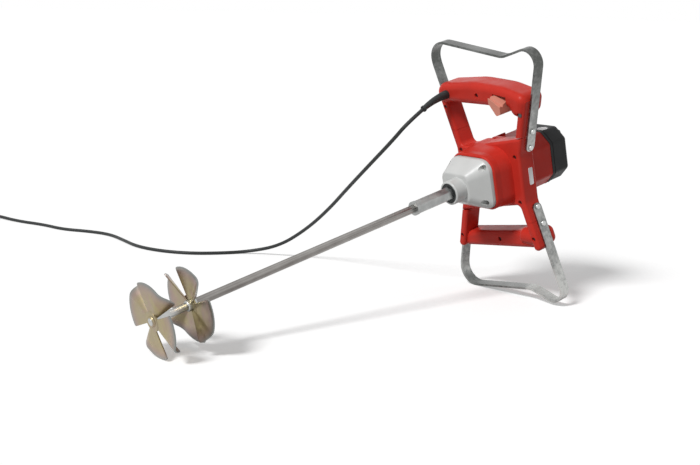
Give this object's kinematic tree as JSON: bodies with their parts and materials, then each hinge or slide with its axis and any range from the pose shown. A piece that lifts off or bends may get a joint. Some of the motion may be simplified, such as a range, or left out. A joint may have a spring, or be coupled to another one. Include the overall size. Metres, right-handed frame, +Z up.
{
  "type": "mixing drill",
  "caption": "Two-handed paddle mixer: framed handles with bent steel bows, offset motor and gear case, long stirrer shaft with pitched propellers, trigger switch and mains cable.",
  "frame": {"origin": "on the floor under the middle of the machine's box, with the cable left out", "axes": "+X from the propellers to the motor along the floor, +Z up, +Y to the side the cable leaves"},
  "size_m": [0.8828, 1.503, 0.468],
  "materials": {
    "red_nylon": "red glass-filled nylon, satin",
    "black_plastic": "black moulded plastic",
    "trigger_plastic": "salmon red plastic",
    "inner_plastic": "brown moulded plastic",
    "cast_alloy": "die cast, silver paint",
    "strip_steel": "zinc plated strip, dull",
    "zinc_steel": "yellow zinc plated",
    "steel": "bright steel",
    "plain_steel": "ground and machined",
    "laminated_steel": "laminated electrical steel",
    "copper": "copper bars",
    "carbon": "pressed carbon",
    "brass": "brass",
    "bronze": "sintered bronze",
    "black_rubber": "black rubber"
  },
  "bodies": {
    "machine": {"body_front": "red_nylon", "body_rear": "red_nylon", "top_handle_front": "red_nylon", "top_handle_rear": "red_nylon", "bottom_handle_front": "red_nylon", "bottom_handle_rear": "red_nylon", "motor_housing": "red_nylon", "end_cap": "black_plastic", "cable_tie": "black_plastic", "switch_body": "inner_plastic", "cable_clamp": "inner_plastic", "gear_case": "cast_alloy", "gear_plate": "cast_alloy", "intermediate_plate": "cast_alloy", "top_bow": "strip_steel", "bottom_bow": "strip_steel", "gear_case_screws": "steel", "end_cap_screws": "steel", "bow_bolts": "steel", "bow_nuts": "steel", "housing_screws": "steel", "trigger_pin": "steel", "trigger_spring": "steel", "plug_pins": "steel", "spindle_front_bearing": "plain_steel", "layshaft_rear_bearing": "plain_steel", "armature_front_bearing": "plain_steel", "armature_rear_bearing": "plain_steel", "stator": "laminated_steel", "carbon_brush_left": "carbon", "carbon_brush_right": "carbon", "brush_holder_left": "brass", "brush_holder_right": "brass", "spindle_rear_bush": "bronze", "layshaft_front_bush": "bronze", "spindle_seal": "black_rubber", "cable_boot": "black_rubber", "power_cable": "black_rubber", "cable_coil": "black_rubber", "plug_body": "black_rubber", "inner_cable": "black_rubber"},
    "spindle": {"spindle": "plain_steel", "spindle_gear": "plain_steel", "tool_holder": "steel", "stirrer_shaft": "zinc_steel", "front_propeller": "zinc_steel", "rear_propeller": "zinc_steel"},
    "layshaft": {"layshaft": "plain_steel", "layshaft_gear": "plain_steel"},
    "armature": {"armature_shaft": "plain_steel", "armature_core": "laminated_steel", "commutator": "copper", "cooling_fan": "black_plastic"},
    "trigger": {"trigger": "trigger_plastic"},
    "lock_button": {"lock_button": "black_plastic"}
  },
  "joints": [
    {"name": "spindle_turn", "type": "hinge", "parent": "machine", "child": "spindle", "pos_m": [0.30292, 0.00059, 0.234], "axis": [0.972, 0, 0.2348], "continuous": true},
    {"name": "layshaft_turn", "type": "hinge", "parent": "machine", "child": "layshaft", "pos_m": [0.30292, 0.02308, 0.234], "axis": [0.972, 0, 0.2348], "continuous": true},
    {"name": "armature_turn", "type": "hinge", "parent": "machine", "child": "armature", "pos_m": [0.30175, 0.00269, 0.23886], "axis": [0.972, 0, 0.2348], "continuous": true},
    {"name": "trigger_pull", "type": "hinge", "parent": "machine", "child": "trigger", "pos_m": [0.25262, -0.03241, 0.37411], "axis": [-0.972, 0, -0.2348], "range_deg": [0, 7], "stiffness_Nm_per_rad": 0.6, "deforming": ["trigger_spring"]},
    {"name": "lock_push", "type": "slide", "parent": "machine", "child": "lock_button", "axis": [-0.972, 0, -0.2348], "range_m": [0, 0.003], "stiffness_N_per_m": 300}
  ],
  "couplings": [
    {"joint": "layshaft_turn", "follows": "spindle_turn", "ratio": -3.5},
    {"joint": "armature_turn", "follows": "spindle_turn", "ratio": 14.875}
  ]
}
